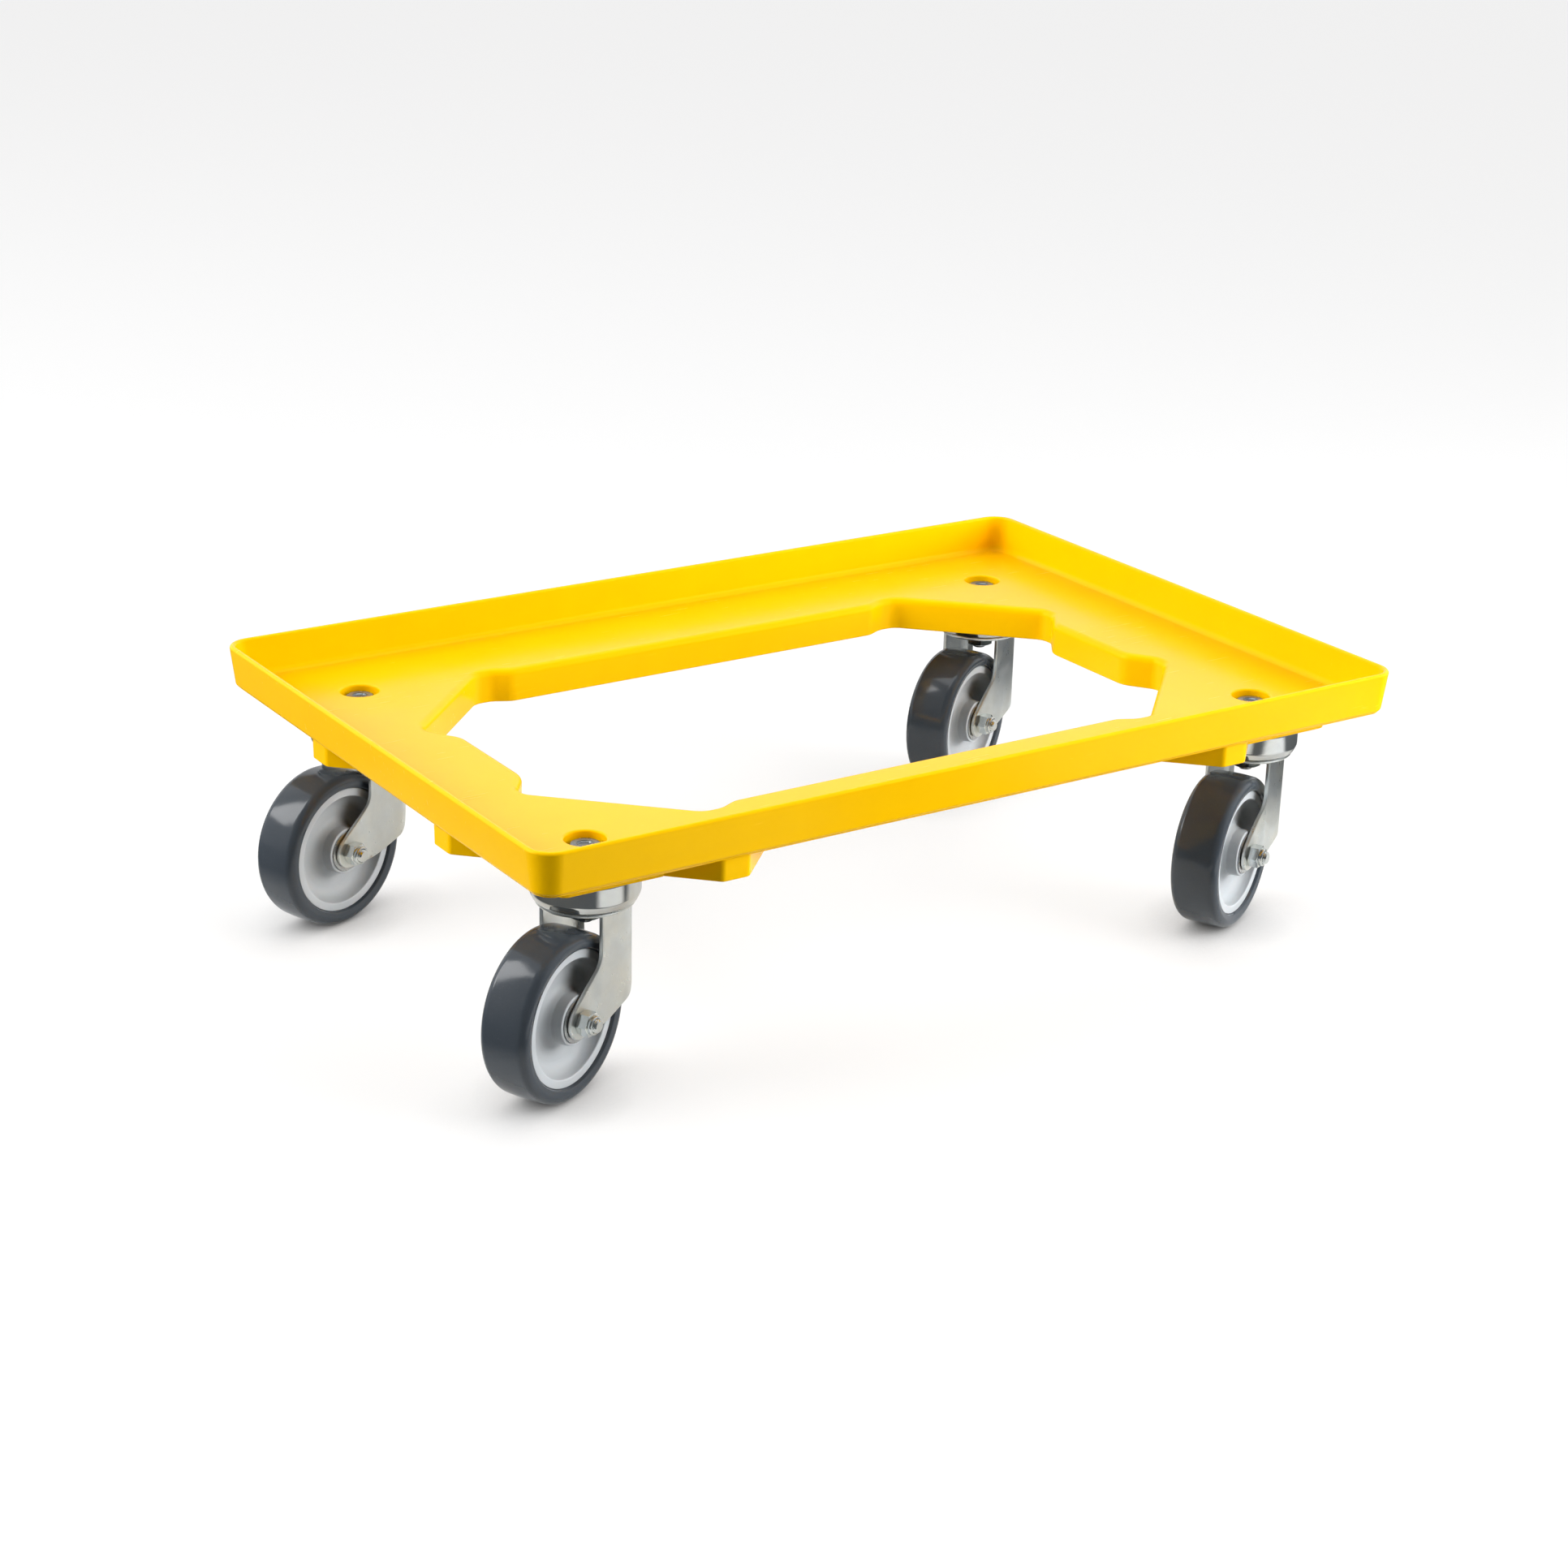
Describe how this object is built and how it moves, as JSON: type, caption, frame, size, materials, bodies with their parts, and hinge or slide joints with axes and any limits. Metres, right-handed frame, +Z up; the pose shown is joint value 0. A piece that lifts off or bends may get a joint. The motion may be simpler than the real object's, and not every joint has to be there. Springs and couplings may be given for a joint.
{
  "type": "platform trolley",
  "caption": "Low open-deck transport dolly for a stacking crate: rimmed plastic deck with a large opening on swivel castors with soft tyres.",
  "frame": {"origin": "middle of the deck at floor level, under the centre of the crate well", "axes": "+X along the deck's long side, +Y across it, +Z up; the castors trail mostly towards -X at rest"},
  "size_m": [0.6359, 0.42, 0.17],
  "materials": {
    "deck_yellow": "glossy injection-moulded ABS",
    "zinc": "bright blue-passivated zinc plate",
    "steel": "plain turned steel",
    "bright_steel": "ground and hardened",
    "wheel_core": "satin moulded polypropylene",
    "tyre": "satin thermoplastic rubber",
    "cage": "satin nylon"
  },
  "bodies": {
    "deck": {"deck_frame": "deck_yellow", "mounting_bolts": "zinc", "mounting_washers": "zinc", "mounting_nuts": "zinc", "front_left_swivel_cup": "zinc", "front_left_kingpin": "steel", "front_left_bearing_balls": "bright_steel", "front_left_retainer_ring": "steel", "front_right_swivel_cup": "zinc", "front_right_kingpin": "steel", "front_right_bearing_balls": "bright_steel", "front_right_retainer_ring": "steel", "rear_left_swivel_cup": "zinc", "rear_left_kingpin": "steel", "rear_left_bearing_balls": "bright_steel", "rear_left_retainer_ring": "steel", "rear_right_swivel_cup": "zinc", "rear_right_kingpin": "steel", "rear_right_bearing_balls": "bright_steel", "rear_right_retainer_ring": "steel"},
    "front_left_swivel": {"front_left_fork": "zinc", "front_left_axle_bolt": "zinc", "front_left_axle_nut": "zinc", "front_left_axle_sleeve": "steel"},
    "front_left_wheel": {"front_left_wheel_core": "wheel_core", "front_left_tyre": "tyre", "front_left_roller_cage": "cage", "front_left_wheel_rollers": "bright_steel", "front_left_hub_washers": "steel"},
    "front_right_swivel": {"front_right_fork": "zinc", "front_right_axle_bolt": "zinc", "front_right_axle_nut": "zinc", "front_right_axle_sleeve": "steel"},
    "front_right_wheel": {"front_right_wheel_core": "wheel_core", "front_right_tyre": "tyre", "front_right_roller_cage": "cage", "front_right_wheel_rollers": "bright_steel", "front_right_hub_washers": "steel"},
    "rear_left_swivel": {"rear_left_fork": "zinc", "rear_left_axle_bolt": "zinc", "rear_left_axle_nut": "zinc", "rear_left_axle_sleeve": "steel"},
    "rear_left_wheel": {"rear_left_wheel_core": "wheel_core", "rear_left_tyre": "tyre", "rear_left_roller_cage": "cage", "rear_left_wheel_rollers": "bright_steel", "rear_left_hub_washers": "steel"},
    "rear_right_swivel": {"rear_right_fork": "zinc", "rear_right_axle_bolt": "zinc", "rear_right_axle_nut": "zinc", "rear_right_axle_sleeve": "steel"},
    "rear_right_wheel": {"rear_right_wheel_core": "wheel_core", "rear_right_tyre": "tyre", "rear_right_roller_cage": "cage", "rear_right_wheel_rollers": "bright_steel", "rear_right_hub_washers": "steel"}
  },
  "joints": [
    {"name": "front_left_swivel_turn", "type": "hinge", "parent": "deck", "child": "front_left_swivel", "pos_m": [-0.2454, -0.1448, 0.118], "axis": [0, 0, 1], "continuous": true},
    {"name": "front_left_wheel_spin", "type": "hinge", "parent": "front_left_swivel", "child": "front_left_wheel", "pos_m": [-0.27423, -0.15868, 0.05], "axis": [0.4337, -0.9011, 0], "continuous": true},
    {"name": "front_right_swivel_turn", "type": "hinge", "parent": "deck", "child": "front_right_swivel", "pos_m": [0.2454, -0.1448, 0.118], "axis": [0, 0, 1], "continuous": true},
    {"name": "front_right_wheel_spin", "type": "hinge", "parent": "front_right_swivel", "child": "front_right_wheel", "pos_m": [0.21691, -0.15938, 0.05], "axis": [0.4555, -0.8902, 0], "continuous": true},
    {"name": "rear_left_swivel_turn", "type": "hinge", "parent": "deck", "child": "rear_left_swivel", "pos_m": [-0.2454, 0.1448, 0.118], "axis": [0, 0, 1], "continuous": true},
    {"name": "rear_left_wheel_spin", "type": "hinge", "parent": "rear_left_swivel", "child": "rear_left_wheel", "pos_m": [-0.27539, 0.13365, 0.05], "axis": [0.3486, -0.9373, 0], "continuous": true},
    {"name": "rear_right_swivel_turn", "type": "hinge", "parent": "deck", "child": "rear_right_swivel", "pos_m": [0.2454, 0.1448, 0.118], "axis": [0, 0, 1], "continuous": true},
    {"name": "rear_right_wheel_spin", "type": "hinge", "parent": "rear_right_swivel", "child": "rear_right_wheel", "pos_m": [0.21669, 0.13067, 0.05], "axis": [0.4415, -0.8973, 0], "continuous": true}
  ]
}
